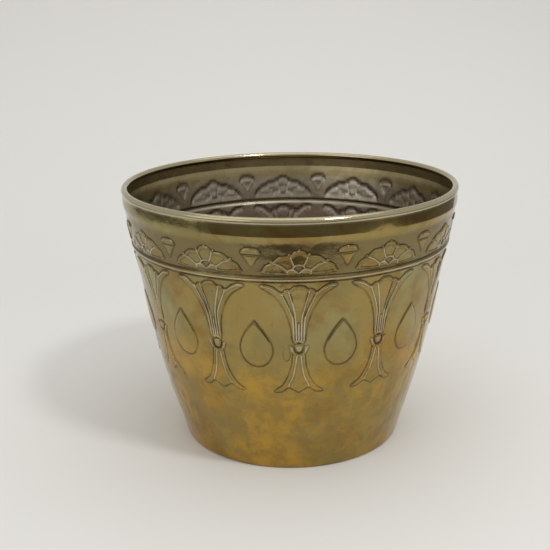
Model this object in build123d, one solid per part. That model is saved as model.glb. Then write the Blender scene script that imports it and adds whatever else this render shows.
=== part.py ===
from build123d import *
import os
from math import atan, cos, hypot, sin, sqrt, tan

# A round brass planter pot: one embossed sheet wall with its rim rolled over a wire,
# and a sheet bottom soldered in.  Millimetres, Z up, standing on Z = 0, axis on Z.
# The middle of one column of the embossed frieze faces -Y.

# Driving dimensions of the wall
sheet = 0.9  # thickness of the brass
foot_radius = 100.5  # where the wall's slope meets the floor
foot_bend = 2.5  # outside radius of the bend at the foot
flange_width = 8.0  # edge of the wall, turned in under the bottom
belly_radius, belly_height = 123.8, 79.8  # where the lower and the upper slope would meet
belly_bend = 755.0  # radius of the long curve between those slopes
neck_radius, neck_height = 148.1, 216.3  # top of the embossed wall, under the collar
collar_radius, collar_height = 149.5, 220.8  # top of the sloping step under the collar
collar_top_radius, collar_top_height = 149.8, 230.8  # where the collar runs into the roll
crease_bend = 1.2  # radius at the small creases beside the ring and the collar
crest_bend = 1.4  # radius at the top of the ring and of the step
ring_height = 185.3  # middle of the ring between frieze and columns
ring_rise = 1.3
ring_half_width, ring_flat = 2.6, 1.1  # half widths at its foot and at its crest

# The rolled rim and its wire
roll_radius = 3.0  # outside radius of the roll's section
roll_middle = (147.5, 232.6)  # middle of that section, (radius, height)
roll_start, roll_turn = -60.0, 340.0  # degrees: where the roll leaves the collar, and its turn
wire_play = 0.05  # gap between wire and roll

# The bottom and its solder
bottom_sheet = 1.0
bottom_bend = 2.5  # outside radius of the bend to the turned-up edge
bottom_edge_height = 6.0
solder_rise = 2.5  # height of the solder above the bottom's edge
fit_gap = 0.1  # play between the bottom's edge and the wall

# The embossed pattern, repeated round the wall
repeats = 12
pattern_radius = 140.0  # radius at which the pattern's widths are measured
relief = 1.0  # rise of the shapes above the wall
hollow_depth = 0.7  # depth of the hollow behind each shape
hollow_inset = 1.0  # how much smaller the hollow is than its shape, all round

# Slopes, radius over height, and the long curve's ends and centre, (radius, height)
foot_slope = (belly_radius - foot_radius) / belly_height
slope = (neck_radius - belly_radius) / (neck_height - belly_height)
curve_reach = belly_bend * tan((atan(foot_slope) - atan(slope)) / 2)
curve_low = belly_height - curve_reach * cos(atan(foot_slope))
curve_high = belly_height + curve_reach * cos(atan(slope))
curve_middle = (
    belly_radius + (curve_high - belly_height) * slope - belly_bend * cos(atan(slope)),
    curve_high + belly_bend * sin(atan(slope)),
)
pitch = 360 / repeats


def wall_radius(height):
    """Outside radius of the plain wall, above the bend at its foot."""
    if height < curve_low:
        return foot_radius + height * foot_slope
    if height > curve_high:
        return belly_radius + (height - belly_height) * slope
    return curve_middle[0] + sqrt(belly_bend**2 - (height - curve_middle[1]) ** 2)


def ring_point(side, half_width, rise):
    """A corner of the ring's section, below (-1) or above (1) its middle."""
    height = ring_height + side * half_width
    return (wall_radius(height) + rise, height)


# Outside of the sheet from the flange up to the roll, and the bend at each corner.
# A positive bend closes round the inside of the pot, a negative one opens away from it.
wall_line = [
    (foot_radius - flange_width, 0.0),
    (foot_radius, 0.0),
    (belly_radius, belly_height),
    ring_point(-1, ring_half_width, 0),
    ring_point(-1, ring_flat, ring_rise),
    ring_point(1, ring_flat, ring_rise),
    ring_point(1, ring_half_width, 0),
    (neck_radius, neck_height),
    (collar_radius, collar_height),
    (collar_top_radius, collar_top_height),
]
wall_bends = [
    foot_bend,
    belly_bend,
    -crease_bend,
    crest_bend,
    crest_bend,
    -crease_bend,
    -crease_bend,
    crest_bend,
]


def beside(line, bends, inset):
    """The points and bend radii of the same bent line, moved inset to its left."""
    points = [Vector(*point) for point in line]
    steps = [(end - start).normalized() for start, end in zip(points, points[1:])]
    normals = [Vector(-step.Y, step.X) for step in steps]
    moved = [points[0] + normals[0] * inset]
    for point, before, after in zip(points[1:], normals, normals[1:]):
        moved.append(point + (before + after) * (inset / (1 + before.dot(after))))
    moved.append(points[-1] + normals[-1] * inset)
    return moved, [abs(bend - inset) for bend in bends]


def strip(line, bends, thickness):
    """Section of a bent sheet: its outer line, and the same line on its inner face."""
    inner_line, inner_bends = beside(line, bends, thickness)
    outer = FilletPolyline(*line, radius=[abs(bend) for bend in bends])
    inner = FilletPolyline(*inner_line, radius=inner_bends)
    ends = [Line(outer @ end, inner @ end) for end in (0, 1)]
    return make_face([*outer.edges(), *inner.edges(), *ends])


def turned(section):
    """A section in (radius, height), turned round the pot's axis."""
    return revolve(Plane.XZ * section, Axis.Z)


def roll_section():
    """Section of the rolled rim, open by a narrow slit where it comes back to the collar."""
    arcs = [
        CenterArc(roll_middle, radius, roll_start, roll_turn)
        for radius in (roll_radius, roll_radius - sheet)
    ]
    ends = [Line(arcs[0] @ end, arcs[1] @ end) for end in (0, 1)]
    return make_face([*arcs, *ends])


def wall_section():
    return strip(wall_line, wall_bends, sheet) + roll_section()


def on_front(x, height):
    """A pattern point, x round the wall, as seen flat from the front."""
    return (wall_radius(height) * sin(x / pattern_radius), height)


def arc(start, middle, end):
    return ThreePointArc(on_front(*start), on_front(*middle), on_front(*end))


def straight(start, end):
    return Line(on_front(*start), on_front(*end))


def both_halves(*edges):
    """The face inside a right-hand outline and its mirror image."""
    return make_face([*edges, *[mirror(edge, about=Plane.YZ) for edge in edges]])


def fan_outline():
    """Half a palmette of five petals, standing on its straight side."""
    return both_halves(
        straight((0, 190.3), (29.1, 191.8)),
        arc((29.1, 191.8), (26.2, 197.0), (20.8, 200.0)),
        arc((20.8, 200.0), (14.8, 204.6), (6.9, 205.8)),
        arc((6.9, 205.8), (3.8, 209.0), (0, 209.8)),
    )


def bud_outline():
    """A round cap over a pointed stem."""
    return both_halves(
        arc((0, 211.6), (5.2, 210.1), (7.3, 206.1)),
        straight((7.3, 206.1), (0, 195.0)),
    )


def drop_outline():
    """A drop with its point up."""
    return both_halves(
        arc((0, 106.5), (10.1, 110.9), (14.3, 121.0)),
        arc((14.3, 121.0), (10.1, 135.8), (0, 148.6)),
    )


def column_outline():
    """A sheaf of leaves that flares at the top and foot, tied by a knot."""
    return both_halves(
        arc((0, 180.0), (4.1, 179.4), (7.5, 176.6)),
        arc((7.5, 176.6), (11.4, 176.6), (13.9, 173.7)),
        arc((13.9, 173.7), (21.1, 179.2), (30.3, 179.1)),
        arc((30.3, 179.1), (19.1, 171.0), (11.5, 159.4)),
        arc((11.5, 159.4), (7.0, 145.1), (4.7, 128.3)),
        straight((4.7, 128.3), (8.9, 127.0)),
        straight((8.9, 127.0), (4.8, 118.5)),
        arc((4.8, 118.5), (6.2, 107.6), (9.8, 96.7)),
        arc((9.8, 96.7), (15.0, 89.0), (22.2, 83.0)),
        arc((22.2, 83.0), (16.4, 82.9), (10.0, 86.9)),
        straight((10.0, 86.9), (0, 82.4)),
    )


def pattern_band(inner, outer):
    """A thin band that follows the plain wall, between two offsets from its outside."""
    plain_line = [(foot_radius, 0), (belly_radius, belly_height), (neck_radius, neck_height)]
    outer_line, outer_bends = beside(plain_line, [belly_bend], -outer)
    return turned(strip(outer_line, outer_bends, outer - inner))


def all_round(outlines, inset, band):
    """Every shape of the pattern, cut from a band of the wall and repeated round the pot."""
    shapes = []
    for outline, turn in outlines:
        face = offset(outline, -inset) if inset else outline
        prism = extrude(Plane.XZ * face, neck_radius + relief)
        shape = Rot(0, 0, turn) * (prism & band)
        shapes += [Rot(0, 0, pitch * step) * shape for step in range(repeats)]
    return shapes


def pressed_wall():
    """Flange, belly, embossed wall, ring, collar and rolled rim in one sheet."""
    outlines = [
        (fan_outline(), 0),
        (column_outline(), 0),
        (bud_outline(), pitch / 2),
        (drop_outline(), pitch / 2),
    ]
    shapes = all_round(outlines, 0, pattern_band(-sheet / 2, relief))
    hollow_band = pattern_band(-2 * sheet, hollow_depth - sheet)
    hollows = all_round(outlines, hollow_inset, hollow_band)
    return turned(wall_section()).fuse(*shapes).cut(*hollows)


def rim_wire():
    """Steel wire inside the rolled rim."""
    return turned(Pos(*roll_middle) * Circle(roll_radius - sheet - wire_play))


def inside_radius(height, gap):
    """Radius at which something stands gap clear of the wall's inner face, just above the foot."""
    return foot_radius + foot_slope * height - (sheet + gap) * hypot(1, foot_slope)


def bottom_section():
    """Half section of the bottom: a flat disc on the flange, its edge turned up along the wall."""
    edge_radius = inside_radius(bottom_edge_height, fit_gap)
    line = [(0.0, sheet), (inside_radius(sheet, fit_gap), sheet), (edge_radius, bottom_edge_height)]
    return strip(line, [bottom_bend], bottom_sheet)


def solder_section():
    """Section of the solder: a fillet between the bottom's upper edge and the wall."""
    top = bottom_edge_height + solder_rise
    edge_radius = inside_radius(bottom_edge_height, fit_gap)
    corners = [
        (edge_radius, bottom_edge_height),
        (inside_radius(bottom_edge_height, -sheet / 2), bottom_edge_height),
        (inside_radius(top, -sheet / 2), top),
        (edge_radius - bottom_sheet, bottom_edge_height),
    ]
    return make_face(Polyline(*corners, close=True)) - wall_section() - bottom_section()


os.makedirs("parts", exist_ok=True)
parts = {
    "pressed_wall": pressed_wall(),
    "rim_wire": rim_wire(),
    "base_disc": turned(bottom_section()),
    "solder_seam": turned(solder_section()),
}
for name, part in parts.items():
    export_step(part, f"parts/{name}.step")
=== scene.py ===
import math

import bpy
import numpy as np
from mathutils import Matrix, Vector


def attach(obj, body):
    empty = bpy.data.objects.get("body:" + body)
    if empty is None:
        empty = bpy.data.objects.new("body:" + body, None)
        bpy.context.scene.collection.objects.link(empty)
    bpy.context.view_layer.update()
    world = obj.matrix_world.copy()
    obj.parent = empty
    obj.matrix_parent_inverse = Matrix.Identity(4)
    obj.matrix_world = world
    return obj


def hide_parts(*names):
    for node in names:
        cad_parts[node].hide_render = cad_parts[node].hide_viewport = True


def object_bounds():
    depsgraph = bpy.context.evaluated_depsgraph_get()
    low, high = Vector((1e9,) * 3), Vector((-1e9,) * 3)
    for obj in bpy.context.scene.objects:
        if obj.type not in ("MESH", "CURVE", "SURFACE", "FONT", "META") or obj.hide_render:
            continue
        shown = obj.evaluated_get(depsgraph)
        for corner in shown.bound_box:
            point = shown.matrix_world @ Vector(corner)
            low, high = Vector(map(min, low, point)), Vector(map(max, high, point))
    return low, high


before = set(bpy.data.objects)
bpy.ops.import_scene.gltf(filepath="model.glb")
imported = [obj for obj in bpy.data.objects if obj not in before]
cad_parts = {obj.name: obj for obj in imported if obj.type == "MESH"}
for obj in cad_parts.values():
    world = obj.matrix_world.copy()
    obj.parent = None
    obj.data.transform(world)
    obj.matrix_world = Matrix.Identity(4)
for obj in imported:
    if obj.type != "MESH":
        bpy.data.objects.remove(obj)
cadLow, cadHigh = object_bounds()
mm = 0.001  # the shapes below are worked out in millimetres
print("frame loaded, CAD box", [round(value, 4) for value in (*cadLow, *cadHigh)])

# The sheet of the wall, as (radius, height) along its outside
wall = {
    "sheet": 0.9,
    "flangeRadius": 92.5, "footRadius": 100.5, "footBend": 2.5,
    "bellyRadius": 123.8, "bellyHeight": 79.8, "bellyBend": 755.0,
    "neckRadius": 148.1, "neckHeight": 216.3,
    "collarRadius": 149.5, "collarHeight": 220.8,
    "collarTopRadius": 149.8, "collarTopHeight": 230.8,
    "creaseBend": 1.2, "crestBend": 1.4,
    "ringHeight": 185.3, "ringRise": 1.3, "ringHalfWidth": 2.6, "ringFlat": 1.1,
    "rollRadius": 3.0, "rollStart": -60.0, "rollEnd": 280.0,
    "rollStep": 0.5, "rollInnerStep": 0.8,
    "rollMeeting": 2.0,  # degrees from the wall's last row to the roll's first
    "rollPlay": 0.1,  # how far the inside of the wall ends short of the roll
    "repeats": 12,
    "columnSteps": [(9.0, 0.42), (31.0, 0.68), (36.65, 0.95)],  # mesh columns: (as far from a column, step)
    "fineStep": 0.58, "innerStep": 2.4, "plainStep": 3.2,
    "fineFrom": 80.0, "fineTo": 213.0,
    "rings": [80, 110, 138, 166, 190, 218],  # heights at which the mesh is shared out over pieces
}
rollMiddle = np.array([cadHigh.x, cadHigh.z]) / mm - wall["rollRadius"]
slope = (wall["neckRadius"] - wall["bellyRadius"]) / (wall["neckHeight"] - wall["bellyHeight"])


def wallRadius(height):
    return wall["bellyRadius"] + (height - wall["bellyHeight"]) * slope


def bentPath(corners, bends, arcPoints=24):
    # Straight runs between the corners, and at each corner an arc of the given radius that touches both runs
    corners = np.array(corners, float)
    runs = np.diff(corners, axis=0)
    runs /= np.linalg.norm(runs, axis=1)[:, None]
    parts = [corners[:1]]
    for corner, before, after, bend in zip(corners[1:-1], runs, runs[1:], bends):
        turn = math.atan2(before[0] * after[1] - before[1] * after[0], before @ after)
        start = corner - before * bend * math.tan(abs(turn) / 2)
        middle = start + math.copysign(bend, turn) * np.array([-before[1], before[0]])
        angles = np.linspace(0, turn, arcPoints)[:, None]
        spoke = start - middle
        across = np.array([-spoke[1], spoke[0]])
        parts.append(middle + spoke * np.cos(angles) + across * np.sin(angles))
    parts.append(corners[-1:])
    return np.concatenate(parts)


def dense(path, grain=0.05):
    # The same path with points every grain millimetres
    lengths = np.r_[0, np.cumsum(np.linalg.norm(np.diff(path, axis=0), axis=1))]
    stations = np.linspace(0, lengths[-1], int(lengths[-1] / grain) + 2)
    return np.stack([np.interp(stations, lengths, path[:, axis]) for axis in (0, 1)], axis=1)


def outwards(path):
    # Unit normals on the right of a path
    along = np.gradient(path, axis=0)
    along /= np.linalg.norm(along, axis=1)[:, None]
    return np.stack([along[:, 1], -along[:, 0]], axis=1)


def spaced(path, step, turnPerRow=0.28):
    # Rows of a dense path, one every step millimetres, and closer together where the path would turn by
    # more than turnPerRow radians between them
    along = np.gradient(path[:, :2], axis=0)
    heading = np.unwrap(np.arctan2(along[:, 1], along[:, 0]))
    grain = np.linalg.norm(along, axis=1)
    turning = np.abs(np.gradient(heading)) / grain
    turning = np.convolve(turning, np.full(9, 1 / 9), "same")  # averaged over nine points
    count = np.cumsum(grain / np.minimum(step, turnPerRow / np.maximum(turning, 1e-3)))
    wanted = np.linspace(count[0], count[-1], int(round(count[-1] - count[0])) + 1)
    return np.stack([np.interp(wanted, count, path[:, axis]) for axis in range(path.shape[1])], axis=1)


def rollArc(radius, start, end, count=300):
    # An arc round the roll's middle between two angles in degrees, in rows as wallLoop has them
    angles = np.radians(np.linspace(start, end, count))
    spokes = np.stack([np.cos(angles), np.sin(angles)], axis=1)
    points = rollMiddle + radius * spokes
    return np.concatenate([points, spokes, points[:, 1:]], axis=1)


def stepAt(heights, fine):
    # Fine rows over the embossed part, plain ones elsewhere
    embossed = (heights > wall["fineFrom"]) & (heights < wall["fineTo"])
    return np.where(embossed, fine, wall["plainStep"])


def wallLoop():
    # The closed section of the sheet: up the outside, round the roll and back inside it, down the inside.
    # Each row holds (radius, height, outward normal, height of the outside opposite it)
    ring = [
        (wallRadius(wall["ringHeight"] + side * half) + rise, wall["ringHeight"] + side * half)
        for side, half, rise in [
            (-1, wall["ringHalfWidth"], 0),
            (-1, wall["ringFlat"], wall["ringRise"]),
            (1, wall["ringFlat"], wall["ringRise"]),
            (1, wall["ringHalfWidth"], 0),
        ]
    ]
    corners = [
        (wall["flangeRadius"], 0),
        (wall["footRadius"], 0),
        (wall["bellyRadius"], wall["bellyHeight"]),
        *ring,
        (wall["neckRadius"], wall["neckHeight"]),
        (wall["collarRadius"], wall["collarHeight"]),
        (wall["collarTopRadius"], wall["collarTopHeight"]),
    ]
    crease, crest = wall["creaseBend"], wall["crestBend"]
    bends = [wall["footBend"], wall["bellyBend"], crease, crest, crest, crease, crease, crest]
    line = dense(bentPath(corners, bends))
    normal = outwards(line)
    outside, inside = (
        np.concatenate([line - normal * depth, normal, line[:, 1:]], axis=1) for depth in (0, wall["sheet"])
    )
    fromRoll = [np.linalg.norm(path[:, :2] - rollMiddle, axis=1) for path in (outside, inside)]
    outside = outside[fromRoll[0] > wall["rollRadius"]]
    inside = inside[fromRoll[1] > wall["rollRadius"] - wall["sheet"] + wall["rollPlay"]]
    meeting = math.degrees(math.atan2(*(outside[-1, :2] - rollMiddle)[::-1]))
    rollOutside = rollArc(wall["rollRadius"], meeting + wall["rollMeeting"], wall["rollEnd"])
    rollInside = rollArc(wall["rollRadius"] - wall["sheet"], wall["rollEnd"], wall["rollStart"])
    rows = [
        spaced(outside, stepAt(outside[:, 1], wall["fineStep"])),
        spaced(rollOutside, wall["rollStep"]),
        spaced(rollInside, wall["rollInnerStep"]),
        spaced(inside, stepAt(inside[:, 1], wall["innerStep"]))[::-1],
    ]
    inner = np.concatenate([np.full(len(path), value) for path, value in zip(rows, (0, 0, 1, 1))])
    return np.concatenate(rows), inner


# The embossed pattern.  x runs round the wall from the middle of a column, measured at patternRadius,
# and only the half of a repeat with x >= 0 is listed: the other half is its mirror image.
patternRadius = 140.0
halfRepeat = math.pi * patternRadius / wall["repeats"]
pastMiddle = 12.0  # how far a half outline is carried past the middle, so that the middle is no edge

# Rises, slopes and widths are in millimetres, and shades are brightnesses.  A band is the pair of heights
# between which a shape has any effect
fan = {
    "top": [
        (29.1, 191.8), (26.2, 197.0), (20.8, 200.0), (14.8, 204.6), (6.9, 205.8), (3.8, 209.0), (0, 209.8),
    ],
    "base": [(8.9, 190.3), (18.7, 190.7), (29.1, 191.8)],
    "ribs": [
        [(3.2, 196.9), (6.9, 205.8)],
        [(8.9, 193.1), (14.3, 197.4), (20.8, 200.0)],
    ],
    "eye": [(0, 190.3), (4.7, 194.7), (3.2, 196.9), (0, 197.8)],
    "lobe": [(4.7, 194.7), (8.9, 192.9), (9.1, 190.1)],
    "beads": [(5.5, 193.8), (7.4, 206.2), (21.0, 200.4), (0, 209.6)], "beadWidth": 0.8,
    "rise": 1.2, "face": 0.3, "rib": 0.9, "ribWidth": 0.5, "fall": 2.3, "darkening": 0.5,
    "eyeDepth": 0.3, "eyeSlope": 0.6,
    "lipShade": 0.6, "lipCrest": 0.7, "lipWidth": 0.45,  # a painted highlight along the lip, just inside the top edge
    "lipPaintedShade": 0.3, "lipFoot": 2.2, "lipFootWidth": 0.8,  # painted shade: the dark band behind it
    "ribReach": 0.6,  # how far the ribs' bright lines, rubbed and painted with highlights, reach past the edge
    "band": (186.5, 212),
}
bud = {
    "cap": [(0, 211.6), (5.2, 210.5), (7.5, 208.1), (6.9, 206.3), (0, 205.9)],
    "stem": [(7.1, 205.9), (4.0, 201.9), (1.2, 196.9), (0, 195.0)],
    # The shoulders are painted highlights on the cap
    "shoulderHighlights": [(4.6, 209.6)], "shoulderWidth": 1.3, "shoulderShade": 0.8,
    "rise": 1.3, "face": 0.35, "fall": 2.2, "darkening": 0.5,
    "stemRise": 0.55, "stemSlope": 1.0,
    "band": (192, 213),
}
column = {
    "outline": [
        (0, 180.0), (4.1, 179.4), (7.5, 176.8), (11.4, 176.6), (13.9, 174.1), (20.7, 179.0), (26.1, 180.6),
        (30.3, 179.1), (19.1, 171.0), (11.5, 159.4), (7.0, 145.1), (4.7, 128.8), (0, 128.8),
    ],
    "leafTop": [(30.3, 179.1), (25.8, 180.2), (19.7, 177.8), (13.9, 173.9)],
    "ribs": [
        [(14.2, 174.0), (9.3, 163.8), (6.3, 156.0), (4.8, 149.2), (4.4, 131.0)],
        [(8.8, 176.5), (7.3, 172.6), (4.9, 163.8), (3.2, 156.0), (2.4, 148.2), (2.0, 131.0)],
        [(0.0, 147.0), (0.0, 131.0)],
    ],
    "petals": [
        [(13.9, 173.9), (11.4, 176.6), (7.9, 176.8)],
        [(7.9, 176.8), (4.1, 179.2), (0, 180.0)],
    ],
    "beads": [(1.0, 130.5), (2.7, 130.3)], "beadWidth": 0.75, "beadRise": 1.1,
    "knob": [(0, 128.5), (2.9, 128.1), (4.0, 126.4), (3.3, 122.4), (1.5, 120.3), (0, 119.9)],
    "ear": [(4.7, 125.6), (9.0, 127.3), (8.3, 123.8), (5.8, 118.9), (2.1, 118.3), (3.3, 120.9), (4.5, 123.2)],
    "foot": [
        (0, 119.1), (4.8, 119.1), (6.0, 108.6), (9.4, 97.7), (14.8, 89.3), (22.6, 83.1), (16.2, 82.7),
        (9.8, 86.7), (5.8, 85.3), (0, 82.1),
    ],
    "footSide": [(4.8, 118.5), (6.0, 108.6), (9.4, 97.7), (14.8, 89.3), (22.6, 83.1)],
    "footRibs": [
        [(1.6, 118.5), (3.0, 107.6), (5.1, 97.7), (8.5, 90.7), (9.8, 86.9)],
    ],
    "tongue": [(9.8, 86.9), (5.8, 85.3), (0, 82.1)],
    "rise": 1.2, "face": 0.4, "faceSlope": 1.0, "rib": 0.9, "ribWidth": 0.48, "darkening": 0.55,
    "leafFall": 1.5, "petalFalls": (2.0, 2.8),
    "tipShade": 0.9, "tipCrest": 0.9, "tipWidth": 0.7, "tipSlope": 0.4,  # the rubbed line along the leaf tips, painted with a highlight
    "knotTop": 128, "knotFoot": 119, "knotFade": 2,  # the ribs fade out towards the knot
    "knobRise": 1.15, "knobSlope": 1.8, "knobShade": 0.45,
    "earRise": 0.9, "earSlope": 1.1, "earShade": 0.55,
    "footSlope": 0.9, "footRibSlope": 0.6, "footEdge": 0.7, "footEdgeWidth": 0.8, "footEdgeShade": 0.35,
    "band": (77, 183),
}
drop = {
    "side": [
        (0, 106.5), (6.3, 107.9), (11.7, 112.9), (14.3, 121.0), (12.5, 130.0), (8.0, 138.6), (3.1, 145.1),
        (0, 149.1),
    ],
    "rise": 0.8, "slope": 2.0, "crown": 0.5, "crownSlope": 14.0, "darkening": 0.6,
    "band": (102, 150),
}


def smooth(t):
    t = np.clip(t, 0, 1)
    return t * t * (3 - 2 * t)


def bell(value, middle, halfWidth):
    # 1 at the middle, falling off on both sides as a bell curve
    return np.exp(-(((value - middle) / halfWidth) ** 2))


def through(points, count=6):
    # A smooth line through the points: cubic pieces whose slope at each point is that of its neighbours
    points = np.array(points, float)
    if len(points) == 2:
        return points
    slopes = np.gradient(points, axis=0)
    t = np.linspace(0, 1, count, endpoint=False)[None, :, None]
    start, end, startSlope, endSlope = (
        array[:, None] for array in (points[:-1], points[1:], slopes[:-1], slopes[1:])
    )
    line = (
        start * (2 * t**3 - 3 * t**2 + 1) + startSlope * (t**3 - 2 * t**2 + t)
        + end * (3 * t**2 - 2 * t**3) + endSlope * (t**3 - t**2)
    )
    return np.concatenate([line.reshape(-1, 2), points[-1:]])


def distanceTo(x, z, line):
    # Shortest distance to a run of straight pieces
    nearest = np.full(x.shape, np.inf)
    for start, end in zip(line, line[1:]):
        step = end - start
        if not step.any():
            continue
        t = np.clip(((x - start[0]) * step[0] + (z - start[1]) * step[1]) / (step @ step), 0, 1)
        nearest = np.minimum(nearest, np.hypot(x - start[0] - t * step[0], z - start[1] - t * step[1]))
    return nearest


def depthInside(x, z, outline):
    # Distance to a closed outline, positive inside it and negative outside.  A point is inside where a
    # level line from it crosses the outline an odd number of times
    closed = np.concatenate([outline, outline[:1]])
    odd = np.zeros(x.shape, bool)
    for start, end in zip(closed, closed[1:]):
        if start[1] != end[1]:
            crossing = start[0] + (z - start[1]) / (end[1] - start[1]) * (end[0] - start[0])
            odd ^= ((start[1] > z) != (end[1] > z)) & (x < crossing)
    return np.where(odd, 1, -1) * distanceTo(x, z, closed)


def halfShape(points, smoothed=True):
    # Closed outline of the right half of a shape
    line = through(points) if smoothed else np.array(points, float)
    return np.concatenate([line, [(-pastMiddle, line[-1][1]), (-pastMiddle, line[0][1])]])


def ribs(x, z, lines, halfWidth):
    # 1 along each line, falling off beside it
    return np.max([bell(distanceTo(x, z, through(line)), 0, halfWidth) for line in lines], axis=0)


def lip(depth, fromEdge, rise, face, fall, width=0.8):
    # A thin crest just inside an edge: it climbs within width, and then falls to a lower face within fall
    return smooth(depth / width) * (face + (rise - face) * (1 - smooth((fromEdge - width) / fall)))


def beads(x, z, places, width):
    # A round bell at each place
    return np.max([np.exp(-((x - right) ** 2 + (z - up) ** 2) / width**2) for right, up in places], axis=0)


def edgeShadeAndDirt(depth, share, outside=0.3, width=1.0):
    # Painted shade, with some dirt, in the corner just outside a shape, as a negative brightness
    return -share * bell(depth, -outside, width)


# Each relief function gives the rise of its shape in millimetres, and how bright it is painted: 1 on ribs
# and beads, rubbed and painted with highlights, 0 on plain brass, below 0 in corners painted with shade and
# dirt
def fanRelief(x, z):
    top = through(fan["top"])
    past = [(-pastMiddle, fan["top"][-1][1]), (-pastMiddle, fan["eye"][0][1])]
    depth = depthInside(x, z, np.concatenate([top, past, fan["eye"][:1], fan["base"][:-1]]))
    fromTop = distanceTo(x, z, top)
    eye = smooth(depthInside(x, z, halfShape(fan["eye"], smoothed=False)) / fan["eyeSlope"])
    petals = lip(depth, fromTop, fan["rise"], fan["face"], fan["fall"]) - fan["eyeDepth"] * eye
    lines = ribs(x, z, [*fan["ribs"], fan["base"], fan["eye"], fan["lobe"]], fan["ribWidth"])
    studs = beads(x, z, fan["beads"], fan["beadWidth"])
    rise = np.maximum(petals + fan["rib"] * lines * (1 - petals / fan["rise"]), fan["rise"] * studs)
    # Painted highlight on the lip's crest, and painted shade in the dark band behind it
    crest = fan["lipShade"] * bell(fromTop, fan["lipCrest"], fan["lipWidth"])
    darkening = fan["lipPaintedShade"] * bell(fromTop, fan["lipFoot"], fan["lipFootWidth"]) * (1 - lines)
    edge = (crest - darkening) * (depth > 0)
    bright = np.maximum(lines * (depth > -fan["ribReach"]), studs)
    return rise, np.where(edge < 0, bright + edge, np.maximum(bright, edge)) + edgeShadeAndDirt(depth, fan["darkening"])


def budRelief(x, z):
    cap = depthInside(x, z, halfShape(bud["cap"]))
    stem = depthInside(x, z, halfShape(bud["stem"]))
    fromTop = distanceTo(x, z, through(bud["cap"][:-1]))
    head = lip(cap, fromTop, bud["rise"], bud["face"], bud["fall"])
    rise = np.maximum(head, bud["stemRise"] * smooth(stem / bud["stemSlope"]))
    # Painted highlight on the cap's shoulder
    bright = bud["shoulderShade"] * beads(x, z, bud["shoulderHighlights"], bud["shoulderWidth"])
    return rise, bright + edgeShadeAndDirt(np.maximum(cap, stem), bud["darkening"])


# The three stages of a column also give the depth inside their outline
def leafRelief(x, z):
    # The sheaf of leaves above the knot
    depth = depthInside(x, z, halfShape(column["outline"]))
    fromTips = distanceTo(x, z, through(column["leafTop"]))
    lips = [lip(depth, fromTips, column["rise"], 0, column["leafFall"])]
    for petal, fall in zip(column["petals"], column["petalFalls"]):
        lips.append(lip(depth, distanceTo(x, z, through(petal)), column["rise"], 0, fall))
    above = smooth((z - column["knotTop"]) / column["knotFade"])
    lines = ribs(x, z, column["ribs"], column["ribWidth"]) * above
    studs = beads(x, z, column["beads"], column["beadWidth"])
    face = column["face"] * smooth(depth / column["faceSlope"])
    rise = np.max([face + column["rib"] * lines, *lips, column["beadRise"] * studs], axis=0)
    crest = bell(fromTips, column["tipCrest"], column["tipWidth"]) * smooth(depth / column["tipSlope"])
    return rise, np.max([lines, studs, column["tipShade"] * crest], axis=0), depth


def knotRelief(x, z):
    # The knob in the middle of the knot, and its two pointed ears
    depth = depthInside(x, z, halfShape(column["knob"]))
    knob = smooth(depth / column["knobSlope"])
    ears = smooth(depthInside(x, z, through([*column["ear"], column["ear"][0]])) / column["earSlope"])
    rise = np.maximum(column["knobRise"] * knob, column["earRise"] * ears)
    return rise, np.maximum(column["knobShade"] * knob, column["earShade"] * ears), depth


def footRelief(x, z):
    # The leaves below the knot, which end in a tongue
    depth = depthInside(x, z, halfShape(column["foot"]))
    below = smooth((column["knotFoot"] - z) / column["knotFade"]) * smooth(depth / column["footRibSlope"])
    lines = ribs(x, z, column["footRibs"], column["ribWidth"]) * below
    edges = ribs(x, z, [column["footSide"], column["tongue"]], column["footEdgeWidth"]) * below
    face = column["face"] * smooth(depth / column["footSlope"])
    rise = face + column["rib"] * np.maximum(lines, column["footEdge"] * edges)
    return rise, np.maximum(lines, column["footEdgeShade"] * edges), depth


def columnRelief(x, z):
    rises, brights, depths = zip(leafRelief(x, z), knotRelief(x, z), footRelief(x, z))
    return np.max(rises, axis=0), np.max(brights, axis=0) + edgeShadeAndDirt(np.max(depths, axis=0), column["darkening"])


def dropRelief(x, z):
    depth = depthInside(x, z, halfShape(drop["side"]))
    rise = drop["rise"] * smooth(depth / drop["slope"]) + drop["crown"] * smooth(depth / drop["crownSlope"])
    return rise, edgeShadeAndDirt(depth, drop["darkening"])


def patternRelief(x, z):
    # Rise and brightness of the pattern at |x| round from the nearest column
    fromDrop = np.abs(halfRepeat - x)
    relief = np.zeros((2, *x.shape))
    for shapeRelief, across, (low, high) in [
        (fanRelief, x, fan["band"]),
        (budRelief, fromDrop, bud["band"]),
        (columnRelief, x, column["band"]),
        (dropRelief, fromDrop, drop["band"]),
    ]:
        rows = np.flatnonzero((z[:, 0] > low) & (z[:, 0] < high))
        band = slice(rows[0], rows[-1] + 1)
        rise, brightness = shapeRelief(across[band], z[band])
        relief[0, band] = np.maximum(relief[0, band], rise)
        relief[1, band] += brightness
    return relief


def waves(angle, height, count, longest, shortest, seed):
    # Smooth unevenness between about -1 and 1: many slanting sine waves, each closing up round the pot.
    # longest and shortest are their wavelengths in millimetres
    draw = np.random.default_rng(seed)
    total = np.zeros(np.broadcast(angle, height).shape)
    for _ in range(count):
        wave = longest * (shortest / longest) ** draw.random()
        heading = draw.random() * math.pi
        turns = round(2 * math.pi * patternRadius / wave * math.cos(heading))
        start = draw.random() * 7  # radians, a little over a whole turn
        total += np.sin(turns * angle + 2 * math.pi / wave * math.sin(heading) * height + start)
    return total / math.sqrt(count / 2)


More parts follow.
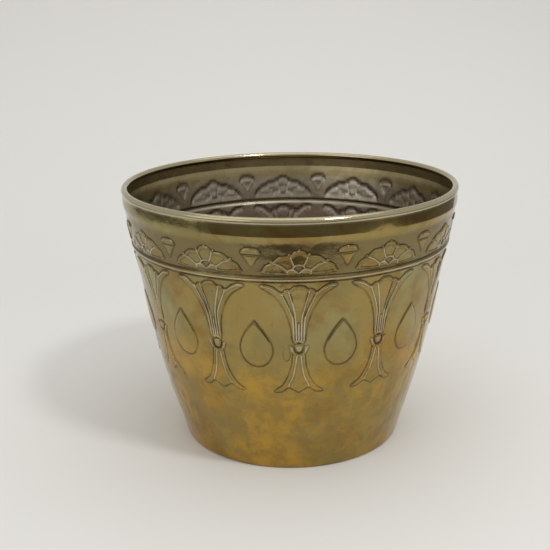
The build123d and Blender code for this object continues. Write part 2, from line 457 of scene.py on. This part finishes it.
# Hand-made unevenness and the knocks of long use.  Waves are (how many, longest, shortest wavelength)
wear = {
    "shift": 0.22, "shiftWaves": (8, 260, 40),  # how far the pattern wanders from its place
    "waviness": 0.10, "slowWaves": (14, 240, 60),  # slow swelling of the sheet
    "ripples": 0.035, "closeWaves": (30, 34, 10),  # closer unevenness
    "lowRipples": 2, "lowRipplesTop": 90, "lowRipplesFade": 30,  # how much the ripples grow below a height
    "trueFoot": 14, "trueFootFade": 25, "trueRoll": 228, "trueRollFade": 8,  # no unevenness past these
    "creases": [  # (height, half width, shade): painted highlight on crests, painted shade in the creases beside them
        (184.9, 0.8, 0.85),
        (187.6, 0.8, -0.45),
        (182.6, 0.8, -0.35),
        (216.2, 0.8, -0.35),
        (219.6, 0.9, 0.3),
    ],
    "insideFade": 0.7,  # how much fainter those are inside the pot
    "scratch": [(-13.8, 121), (-13.6, 115), (-11.5, 112), (-9, 113), (-7.6, 117), (-8.6, 120.5)],
    "scratchWidth": 0.5, "scratchDepth": 0.15, "scratchShade": 0.6,
    "scratchBand": (105, 128), "scratchReach": 20,  # heights and width round the front that hold it
    "dents": [  # (degrees from the front, height, half width round, half height, depth, tilt in degrees)
        (-4.3, 114, 3.0, 6.0, 0.30, 12),
        (24, 80, 10, 4.5, 0.55, -25),
        (31, 72, 7, 3.5, -0.35, 30),
        (-22, 58, 8, 10, 0.30, 0),
        (8, 44, 12, 8, 0.35, 20),
        (-40, 70, 9, 6, 0.35, 60),
        (52, 60, 8, 9, 0.4, -10),
        (140, 66, 14, 8, 0.5, 15),
        (205, 48, 10, 12, 0.45, -30),
        (265, 84, 8, 6, 0.4, 45),
    ],
}


def wrapped(angle, whole):
    # The angle brought to within half of whole of 0
    return (angle + whole / 2) % whole - whole / 2


def knocks(angle, height):
    # Each dent is a bell-shaped hollow, longer one way than the other, and turned by its tilt
    total = np.zeros(np.broadcast(angle, height).shape)
    for degrees, middle, halfWidth, halfHeight, depth, tilt in wear["dents"]:
        away = wrapped(angle - math.radians(degrees), 2 * math.pi)
        across, up = away * patternRadius, height - middle
        turn = math.radians(tilt)
        first = (across * math.cos(turn) + up * math.sin(turn)) / halfWidth
        second = (up * math.cos(turn) - across * math.sin(turn)) / halfHeight
        total -= depth * np.exp(-(first**2 + second**2))
    return total


def blurred(values, width, stepUp, stepRound):
    # Gaussian blur of values on a regular grid, width and steps in millimetres
    up = np.fft.fftfreq(values.shape[0], stepUp)[:, None]
    across = np.fft.rfftfreq(values.shape[1], stepRound)[None]
    kernel = np.exp(-2 * (math.pi * width) ** 2 * (up**2 + across**2))
    return np.fft.irfft2(np.fft.rfft2(values) * kernel, values.shape)


def sampled(values, places, axis):
    # Straight interpolation along one axis.  places count in rows, or in columns, which close up
    low = np.floor(places).astype(int)
    part = places - low
    if axis == 0:
        low, part = np.clip(low, 0, values.shape[0] - 2), part[:, None]
        return values[low] * (1 - part) + values[low + 1] * part
    columns = values.shape[1]
    return values[:, low % columns] * (1 - part) + values[:, (low + 1) % columns] * part


def meshAngles():
    # Angles of the mesh columns: close together round each embossed column, where its ribs run upwards
    reaches = np.r_[0, [reach for reach, _ in wall["columnSteps"]]]
    half = [
        np.linspace(start, end, round((end - start) / step), endpoint=False)
        for start, end, (_, step) in zip(reaches, reaches[1:], wall["columnSteps"])
    ]
    half = np.concatenate([*half, [halfRepeat]]) / reaches[-1] * halfRepeat
    half[-1] = halfRepeat
    repeat = np.r_[-half[:0:-1], half[:-1]] / patternRadius
    return (np.arange(wall["repeats"])[:, None] * 2 * math.pi / wall["repeats"] + repeat).ravel()


# The regular field on which the pattern is worked out, and how far each use of it is blurred
patternField = {
    "low": 66, "high": 222, "step": 0.4, "columnsPerRepeat": 180,
    "usedFrom": 74, "usedTo": 215,
    "crisp": 0.15, "soft": 0.75, "wide": 1.1, "wearAndPaintedLight": 0.1,
}


def pressedField():
    # Heights and angles of the field, and the rise and brightness of pattern and scratch on it
    heights = np.arange(patternField["low"], patternField["high"], patternField["step"])
    columns = wall["repeats"] * patternField["columnsPerRepeat"]
    angles = np.arange(columns) * 2 * math.pi / columns
    z = np.broadcast_to(heights[:, None], (len(heights), columns))
    shifts = [wear["shift"] * waves(angles[None], z, *wear["shiftWaves"], seed) for seed in (3, 4)]
    fromColumn = wrapped(angles, 2 * math.pi / wall["repeats"]) * patternRadius
    relief, bright = patternRelief(np.abs(fromColumn[None] + shifts[0]), z + shifts[1])
    fromFront = wrapped(angles, 2 * math.pi) * patternRadius
    low, high = wear["scratchBand"]
    near = np.ix_((heights > low) & (heights < high), np.abs(fromFront) < wear["scratchReach"])
    across = np.broadcast_to(fromFront, z.shape)[near]
    scratch = ribs(across, z[near], [wear["scratch"]], wear["scratchWidth"])
    relief[near] -= wear["scratchDepth"] * scratch
    bright[near] -= wear["scratchShade"] * scratch
    return heights, angles, relief, bright


def wallGrid():
    # Every point of the wall: the section's loop by the angle round the pot.  Rows and columns take their
    # rise from the field, and the inside of the sheet takes a softer one
    section, inner = wallLoop()
    angle = meshAngles()
    height = section[:, 4:]
    inside = inner[:, None]
    fieldHeights, fieldAngles, relief, bright = pressedField()
    step, stepRound = patternField["step"], fieldAngles[1] * patternRadius
    rows, columns = (section[:, 4] - fieldHeights[0]) / step, angle / fieldAngles[1]
    onWall = (height > patternField["usedFrom"]) & (height < patternField["usedTo"])
    crisp, soft, wide, wearAndPaintedLight = (
        sampled(sampled(blurred(values, patternField[use], step, stepRound), columns, 1), rows, 0) * onWall
        for values, use in ((relief, "crisp"), (relief, "soft"), (relief, "wide"), (bright, "wearAndPaintedLight"))
    )
    pressed = np.where(inside > 0, soft, crisp)
    # Painted highlight on the ring's crest and the collar's bevel, and painted shade in the creases beside
    # them
    creases = sum(value * bell(height, place, width) for place, width, value in wear["creases"])
    # shade: the relief less its blurred self, a painted highlight on crests and painted shade, with grime,
    # beside them
    shade = pressed - wide + creases * (1 - wear["insideFade"] * inside)
    uneven = wear["waviness"] * waves(angle[None], height, *wear["slowWaves"], 11)
    growth = 1 + wear["lowRipples"] * smooth((wear["lowRipplesTop"] - height) / wear["lowRipplesFade"])
    uneven = uneven + wear["ripples"] * waves(angle[None], height, *wear["closeWaves"], 12) * growth
    # The sheet is left true at the foot and at the roll, where other pieces meet it
    free = smooth((height - wear["trueFoot"]) / wear["trueFootFade"])
    free = free * smooth((wear["trueRoll"] - height) / wear["trueRollFade"])
    out = pressed + (uneven + knocks(angle[None], height)) * free
    radius = section[:, :1] + out * section[:, 2:3]
    up = section[:, 1:2] + out * section[:, 3:4]
    points = np.stack([radius * np.sin(angle), -radius * np.cos(angle), up], axis=-1)
    normals = np.cross(
        np.roll(points, -1, 1) - np.roll(points, 1, 1), np.roll(points, -1, 0) - np.roll(points, 1, 0)
    )
    normals /= np.maximum(np.linalg.norm(normals, axis=-1, keepdims=True), 1e-9)
    marks = {"shade": shade, "wearAndPaintedLight": wearAndPaintedLight, "pressed": wide, "inside": inside + 0 * shade}
    return section, inner, points * mm, normals, marks


def gridMesh(name, points, normals, attributes, material, endStrips=()):
    # A grid closed both ways: four-sided faces between neighbouring rows and columns
    rows, columns = points.shape[:2]
    index = np.arange(rows * columns).reshape(rows, columns)
    quads = np.stack(
        [index, np.roll(index, -1, 1), np.roll(np.roll(index, -1, 0), -1, 1), np.roll(index, -1, 0)], axis=-1
    ).reshape(-1, 4)
    mesh = bpy.data.meshes.new(name)
    mesh.vertices.add(rows * columns)
    mesh.vertices.foreach_set("co", points.astype(np.float32).ravel())
    mesh.loops.add(quads.size)
    mesh.loops.foreach_set("vertex_index", quads.astype(np.int32).ravel())
    mesh.polygons.add(len(quads))
    mesh.polygons.foreach_set("loop_start", np.arange(0, quads.size, 4, dtype=np.int32))
    smoothFaces = np.ones((rows, columns), bool)
    smoothFaces[list(endStrips)] = False
    mesh.polygons.foreach_set("use_smooth", smoothFaces.ravel())
    mesh.update(calc_edges=True)
    mesh.normals_split_custom_set_from_vertices(normals.reshape(-1, 3).tolist())
    for attributeName, values in attributes.items():
        attribute = mesh.attributes.new(attributeName, "FLOAT", "POINT")
        attribute.data.foreach_set("value", values.astype(np.float32).ravel())
    mesh.materials.append(material)
    piece = bpy.data.objects.new(name, mesh)
    bpy.context.scene.collection.objects.link(piece)
    return piece


def makeWall(material):
    # The sheet is one piece of brass.  Its mesh is shared out over rings that meet edge to edge, and the
    # strips across the sheet where it is cut are shaded flat
    section, inner, points, normals, marks = wallGrid()
    outerRows, innerRows = np.flatnonzero(inner == 0), np.flatnonzero(inner == 1)
    below, above = 0, len(section) - 1
    for number, height in enumerate([*wall["rings"], None]):
        if height is None:
            rows = np.arange(below, above + 1)
            strips = [len(rows) - 1]
        else:
            top = outerRows[np.argmin(np.abs(section[outerRows, 4] - height))]
            back = innerRows[np.argmin(np.abs(section[innerRows, 4] - height))]
            rows = np.r_[below:top + 1, back:above + 1]
            strips = [top - below, len(rows) - 1]
        if number == 0:
            strips = strips[:1]
        piece = gridMesh(
            f"wall_ring_{number + 1}", points[rows], normals[rows],
            {name: values[rows] for name, values in marks.items()}, material, strips,
        )
        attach(piece, "root")
        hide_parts("pressed_wall")
        print(piece.name, len(piece.data.polygons) * 2, "triangles")
        if height is not None:
            below, above = top, back


# Materials
def addNode(tree, kind, inputs=None, **settings):
    node = tree.nodes.new("ShaderNode" + kind)
    for key, value in settings.items():
        setattr(node, key, value)
    for key, value in (inputs or {}).items():
        socket = node.inputs[key]
        if isinstance(value, bpy.types.NodeSocket):
            tree.links.new(value, socket)
        else:
            socket.default_value = value
    return node


def blend(tree, factor, first, second):
    # The first colour where the factor is 0, the second where it is 1
    node = tree.nodes.new("ShaderNodeMix")
    node.data_type = "RGBA"
    for socket, value in zip((node.inputs[0], node.inputs[6], node.inputs[7]), (factor, first, second)):
        if isinstance(value, bpy.types.NodeSocket):
            tree.links.new(value, socket)
        else:
            socket.default_value = (*value, 1)
    return node.outputs[2]


def noise(tree, place, scale, detail=4.0, roughness=0.55, distortion=0.0, stretch=None):
    if stretch:
        place = addNode(tree, "Mapping", {"Vector": place, "Scale": stretch}).outputs[0]
    inputs = {
        "Vector": place, "Scale": scale, "Detail": detail, "Roughness": roughness, "Distortion": distortion,
    }
    return addNode(tree, "TexNoise", inputs).outputs[0]


def ranged(tree, value, low, high, outLow=0.0, outHigh=1.0):
    # outLow where the value is low, outHigh where it is high, with a smooth change between
    node = addNode(
        tree, "MapRange",
        {"Value": value, "From Min": low, "From Max": high, "To Min": outLow, "To Max": outHigh},
        interpolation_type="SMOOTHSTEP",
    )
    return node.outputs[0]


def maths(tree, operation, first, second):
    return addNode(tree, "Math", {0: first, 1: second}, operation=operation).outputs[0]


def bump(tree, height, strength, depth, under=None):
    inputs = {"Height": height, "Strength": strength, "Distance": depth}
    if under is not None:
        inputs["Normal"] = under
    return addNode(tree, "Bump", inputs).outputs[0]


def newMaterial(name):
    material = bpy.data.materials.new(name)
    material.use_nodes = True
    tree = material.node_tree
    shader = tree.nodes["Principled BSDF"]
    place = addNode(tree, "TexCoord").outputs["Object"]
    return material, tree, shader, place


brass = {
    "gold": (0.345, 0.255, 0.09),
    "olive": (0.275, 0.23, 0.095),
    "brown": (0.26, 0.16, 0.05),
    "haze": (0.345, 0.305, 0.135),
    "orange": (0.55, 0.33, 0.06),
    "umber": (0.36, 0.235, 0.065),
    "tarnish": (0.19, 0.15, 0.075),
    # Dark colour of the specks, and of the painted shade, mixed with grime, in hollows and creases beside the
    # relief
    "grimeAndShade": (0.06, 0.042, 0.022),
    # Colour of the painted shade, mixed with dirt, round the shapes and behind the fans' lips, and of the
    # scratch
    "shadeAndDirtColour": (0.12, 0.08, 0.035),
    # Pale colour of the painted highlights on ribs, beads and crests, which are also rubbed
    "bright": (0.66, 0.60, 0.50),
    "rim": (0.50, 0.45, 0.30),
    "insideTop": (0.32, 0.26, 0.14),
    "insideMiddle": (0.33, 0.29, 0.22),
    "insideLow": (0.33, 0.25, 0.20),
    "insidePale": (0.42, 0.40, 0.35),
    "roughness": (0.08, 0.20), "grimeAndShadeRoughness": 0.25, "insideRoughness": 0.18,
}

# Noises of the brass: (scale, detail, roughness, distortion, stretch)
brassNoise = {
    "clouds": (13, 6, 0.6, 0.4),
    "stains": (55, 8, 0.68, 0.3),
    "specks": (300, 4, 0.6),
    "brown": (20, 7, 0.62, 0.6),
    "haze": (24, 7, 0.6, 0.3),
    "hammered": (70, 3),
    "scratches": (300, 2, 0.5, 0, (1.0, 1.0, 0.12)),
}

# Where each stain begins and where it is whole, in the noise, the mark or the height in metres that it
# follows, and then its share at those two, if that isn't 0 and 1
stain = {
    "olive": (0.42, 0.58),
    "brown": (0.48, 0.64, 0, 0.8),
    "haze": (0.51, 0.63, 0, 0.65), "hazeLow": (0, 1, 1, 0.4),
    "umber": (0.40, 0.60),
    "low": (0.145, 0.085), "lowClouds": (0.35, 0.60, 0.9, 0.45),
    "friezeFoot": (0.184, 0.190), "friezeTop": (0.2175, 0.2125), "friezeShapes": (0.35, 0.1, 0.1, 0.75),
    "rim": (0.2290, 0.2302, 0, 0.8),
    "insideMiddle": (0.213, 0.205), "insideLow": (0.186, 0.170),
    "insidePale": (0.1, 0.6, 0, 0.5), "insideTarnish": (0.45, 0.65, 0, 0.35),
    # The next two give painted shade, mixed with dirt and grime, in the corners and creases round the shapes
    "shadeAndDirt": (-0.05, -0.55, 0, 0.9), "shadeAndDirtPatches": (0.35, 0.6, 0.4, 1),
    "grimeAndShade": (-0.04, -0.28, 0, 0.8), "grimeAndShadePatches": (0.3, 0.55, 0.55, 1),
    "specks": (0.64, 0.72, 0, 0.35),
    # The ribs and crests are painted highlights on brass that is also rubbed
    "ribs": (0.2, 0.9, 0, 0.9), "crests": (0.35, 0.8, 0, 0.6), "brightPatches": (0.35, 0.6, 1, 0.6),
    "roughness": (0.3, 0.7),
}

# Bumps of the brass: (strength, depth in metres)
brassBump = {"specks": (0.15, 0.0004), "hammered": (0.35, 0.0008), "scratches": (0.10, 0.0004)}


def outsideColour(tree, place, height, pressed, clouds, stains):
    # Gold, olive and brown stains, orange towards the foot, dull in the frieze and pale on the rim
    colour = blend(tree, ranged(tree, clouds, *stain["olive"]), brass["gold"], brass["olive"])
    brownShare = ranged(tree, noise(tree, place, *brassNoise["brown"]), *stain["brown"])
    colour = blend(tree, brownShare, colour, brass["brown"])
    low = ranged(tree, height, *stain["low"])
    hazeShare = ranged(tree, noise(tree, place, *brassNoise["haze"]), *stain["haze"])
    hazeShare = maths(tree, "MULTIPLY", hazeShare, ranged(tree, low, *stain["hazeLow"]))
    colour = blend(tree, hazeShare, colour, brass["haze"])
    lowColour = blend(tree, ranged(tree, stains, *stain["umber"]), brass["orange"], brass["umber"])
    lowShare = maths(tree, "MULTIPLY", low, ranged(tree, clouds, *stain["lowClouds"]))
    colour = blend(tree, lowShare, colour, lowColour)
    friezeFoot, friezeTop = (ranged(tree, height, *stain[edge]) for edge in ("friezeFoot", "friezeTop"))
    tarnishShare = maths(tree, "MULTIPLY", friezeFoot, friezeTop)
    tarnishShare = maths(tree, "MULTIPLY", tarnishShare, ranged(tree, pressed, *stain["friezeShapes"]))
    colour = blend(tree, tarnishShare, colour, brass["tarnish"])
    return blend(tree, ranged(tree, height, *stain["rim"]), colour, brass["rim"])


def insideColour(tree, height, pressed, stains):
    # Three tones from the rim down, paler in the hollows behind the shapes
    middleShare = ranged(tree, height, *stain["insideMiddle"])
    colour = blend(tree, middleShare, brass["insideTop"], brass["insideMiddle"])
    colour = blend(tree, ranged(tree, height, *stain["insideLow"]), colour, brass["insideLow"])
    colour = blend(tree, ranged(tree, pressed, *stain["insidePale"]), colour, brass["insidePale"])
    return blend(tree, ranged(tree, stains, *stain["insideTarnish"]), colour, brass["tarnish"])


def brassMaterial():
    # Old polished brass: stained metal, then painted shade with dirt and grime beside the shapes,
    # then the rubbed ribs and crests, painted with highlights
    material, tree, shader, place = newMaterial("oldBrass")
    height = addNode(tree, "SeparateXYZ", {0: place}).outputs[2]
    shade, wearAndPaintedLight, pressed, inside = (
        addNode(tree, "Attribute", attribute_name=name).outputs["Fac"]
        for name in ("shade", "wearAndPaintedLight", "pressed", "inside")
    )
    clouds, stains, specks = (
        noise(tree, place, *brassNoise[name]) for name in ("clouds", "stains", "specks")
    )
    outer = outsideColour(tree, place, height, pressed, clouds, stains)
    colour = blend(tree, inside, outer, insideColour(tree, height, pressed, stains))
    shadeAndDirtPatches, grimeAndShadePatches, brightPatches = (
        ranged(tree, stains, *stain[name]) for name in ("shadeAndDirtPatches", "grimeAndShadePatches", "brightPatches")
    )
    # Painted shade, mixed with dirt, in the corners round the shapes and behind the fans' lips
    shadeAndDirtShare = maths(tree, "MULTIPLY", ranged(tree, wearAndPaintedLight, *stain["shadeAndDirt"]), shadeAndDirtPatches)
    colour = blend(tree, shadeAndDirtShare, colour, brass["shadeAndDirtColour"])
    # Painted shade, mixed with grime, in the hollows and creases beside the relief
    grimeAndShadeShare = maths(tree, "MULTIPLY", ranged(tree, shade, *stain["grimeAndShade"]), grimeAndShadePatches)
    colour = blend(tree, grimeAndShadeShare, colour, brass["grimeAndShade"])
    colour = blend(tree, ranged(tree, specks, *stain["specks"]), colour, brass["grimeAndShade"])
    # Painted highlights on the ribs, beads and crests, mixed with the wear of rubbing
    brightShare = maths(
        tree, "MAXIMUM", ranged(tree, wearAndPaintedLight, *stain["ribs"]), ranged(tree, shade, *stain["crests"])
    )
    brightShare = maths(tree, "MULTIPLY", brightShare, brightPatches)
    colour = blend(tree, brightShare, colour, brass["bright"])
    tree.links.new(colour, shader.inputs["Base Color"])
    shader.inputs["Metallic"].default_value = 1.0
    roughness = ranged(tree, stains, *stain["roughness"], *brass["roughness"])
    for share, more in ((grimeAndShadeShare, brass["grimeAndShadeRoughness"]), (inside, brass["insideRoughness"])):
        roughness = maths(tree, "ADD", roughness, maths(tree, "MULTIPLY", share, more))
    tree.links.new(roughness, shader.inputs["Roughness"])
    surface = bump(tree, specks, *brassBump["specks"])
    for name in ("hammered", "scratches"):
        surface = bump(tree, noise(tree, place, *brassNoise[name]), *brassBump[name], surface)
    tree.links.new(surface, shader.inputs["Normal"])
    return material


# The dull metals of the bottom, the wire and the solder
innerMetals = {
    "base_disc": {
        "name": "dullBrass", "colour": (0.28, 0.21, 0.11), "stained": (0.21, 0.155, 0.09),
        "roughness": (0.34, 0.52), "scale": 60,
    },
    "rim_wire": {
        "name": "steelWire", "colour": (0.42, 0.41, 0.39), "stained": (0.22, 0.15, 0.11),
        "roughness": (0.37, 0.55), "scale": 120,
    },
    "solder_seam": {
        "name": "softSolder", "colour": (0.48, 0.48, 0.47), "stained": (0.30, 0.30, 0.30),
        "roughness": (0.37, 0.55), "scale": 150,
    },
    "stain": (0.35, 0.65), "roughnessFrom": (0.3, 0.7),  # where they begin and are whole, in the noise
    "grainScale": 12,  # how much finer the grain is than the stains
    "grainBump": (0.2, 0.0004),
}


def plainMetal(name, colour, stained, roughness, scale):
    material, tree, shader, place = newMaterial(name)
    stains = noise(tree, place, scale, 6, 0.6)
    mixed = blend(tree, ranged(tree, stains, *innerMetals["stain"]), colour, stained)
    tree.links.new(mixed, shader.inputs["Base Color"])
    shader.inputs["Metallic"].default_value = 1.0
    dull = ranged(tree, stains, *innerMetals["roughnessFrom"], *roughness)
    tree.links.new(dull, shader.inputs["Roughness"])
    grain = noise(tree, place, scale * innerMetals["grainScale"], 3)
    tree.links.new(bump(tree, grain, *innerMetals["grainBump"]), shader.inputs["Normal"])
    return material


makeWall(brassMaterial())
for node in ("base_disc", "rim_wire", "solder_seam"):
    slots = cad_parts[node].data.materials
    slots.clear()
    slots.append(plainMetal(**innerMetals[node]))
print("materials made")

# The studio: a pale table whose cloth sweeps up behind the pot, standing in a room with a dark floor.
# Metres, watts and degrees
studio = {
    "front": -0.41, "back": 1.0, "left": -0.8, "right": 0.62, "sweepRadius": 0.5, "sweepHeight": 1.5,
    "paper": (0.80, 0.79, 0.76), "roughness": 0.9, "specular": 0.15,
    "roomFloorHeight": -0.75, "roomReach": 5, "roomFloor": (0.26, 0.255, 0.24),
    "roomLight": 0.59, "roomColour": (1, 0.99, 0.97),
    "aimHeight": 0.1,  # the key and the fill point here on the pot's axis
    "topPower": 8, "topHeight": 1.9, "topSize": 2.2, "topBack": 0.1,
    "keyPower": 7, "keyDistance": 1.7, "keySize": 0.25, "keyTurn": 36, "keyElevation": 56,
    "fillPower": 3, "fillDistance": 1.9, "fillSize": 1.5, "fillTurn": -50, "fillElevation": 25,
}


def makeStudio(arcPoints=24):
    # The cloth is a profile in (y, z) drawn out along x: flat table, a quarter circle, a straight wall
    turn = np.linspace(0, math.pi / 2, arcPoints)
    radius = studio["sweepRadius"]
    y = np.r_[studio["front"], studio["back"] - radius + radius * np.sin(turn), studio["back"]]
    z = np.r_[0.0, radius - radius * np.cos(turn), studio["sweepHeight"]]
    reach = studio["roomReach"]
    addSheet("paperSweep", [studio["left"], studio["right"]], y, z, studio["paper"])
    edges = np.array([-reach, reach])
    addSheet("roomFloor", edges, edges, np.full(2, studio["roomFloorHeight"]), studio["roomFloor"])


def addSheet(name, x, y, z, colour):
    # A profile in (y, z) drawn out between two places along x
    x, y, z = np.array(x)[:, None] + 0 * y, y + np.zeros((2, 1)), z + np.zeros((2, 1))
    points = np.stack([x, y, z], axis=-1)
    index = np.arange(x.size).reshape(x.shape)
    faces = np.stack([index[:-1, :-1], index[1:, :-1], index[1:, 1:], index[:-1, 1:]], axis=-1).reshape(-1, 4)
    mesh = bpy.data.meshes.new(name)
    mesh.from_pydata(points.reshape(-1, 3).tolist(), [], faces.tolist())
    mesh.polygons.foreach_set("use_smooth", np.ones(len(faces), bool))
    material, _, shader, _ = newMaterial(name + "Surface")
    shader.inputs["Base Color"].default_value = (*colour, 1)
    shader.inputs["Roughness"].default_value = studio["roughness"]
    shader.inputs["Specular IOR Level"].default_value = studio["specular"]
    mesh.materials.append(material)
    sheet = bpy.data.objects.new(name, mesh)
    bpy.context.scene.collection.objects.link(sheet)


def areaLight(name, power, size, place, aim):
    light = bpy.data.lights.new(name, "AREA")
    light.shape = "DISK"
    light.size = size
    light.energy = power
    lamp = bpy.data.objects.new(name, light)
    lamp.location = place
    lamp.rotation_euler = (Vector(aim) - Vector(place)).to_track_quat("-Z", "Y").to_euler()
    bpy.context.scene.collection.objects.link(lamp)
    return lamp


def makeLights():
    aim = Vector((0, 0, studio["aimHeight"]))
    for name in ("key", "fill"):
        turn, rise = math.radians(studio[name + "Turn"]), math.radians(studio[name + "Elevation"])
        towards = Vector((math.sin(turn) * math.cos(rise), -math.cos(turn) * math.cos(rise), math.sin(rise)))
        place = aim + towards * studio[name + "Distance"]
        areaLight(name + "Light", studio[name + "Power"], studio[name + "Size"], place, aim)
    above, below = (0, studio["topBack"], studio["topHeight"]), (0, studio["topBack"], 0)
    areaLight("topLight", studio["topPower"], studio["topSize"], above, below)
    world = bpy.data.worlds.new("room")
    world.use_nodes = True
    background = world.node_tree.nodes["Background"]
    background.inputs["Color"].default_value = (*studio["roomColour"], 1)
    background.inputs["Strength"].default_value = studio["roomLight"]
    bpy.context.scene.world = world
    bpy.context.scene.view_settings.view_transform = "Standard"


makeStudio()
makeLights()
print("studio and lights made")

# Camera: it looks at a point beside the pot's axis from a little above the rim.  Millimetres and degrees
view = {
    "lens": 62.3, "sensor": 36,
    "aim": (-14.2, 0.45, 145.9), "distance": 884.6,
    "elevation": 16.94, "turn": -1.83, "roll": -0.876,
}


def makeCamera():
    turning = Matrix.Rotation(math.radians(view["turn"]), 3, "Z")
    turning = turning @ Matrix.Rotation(math.radians(90 - view["elevation"]), 3, "X")
    away = turning @ Vector((0, 0, view["distance"]))
    lens = bpy.data.cameras.new("studioLens")
    lens.lens = view["lens"]
    lens.sensor_width = view["sensor"]
    camera = bpy.data.objects.new("studioCamera", lens)
    camera.location = (Vector(view["aim"]) + away) * mm
    camera.rotation_euler = (turning @ Matrix.Rotation(math.radians(view["roll"]), 3, "Z")).to_euler()
    bpy.context.scene.collection.objects.link(camera)
    bpy.context.scene.camera = camera


makeCamera()
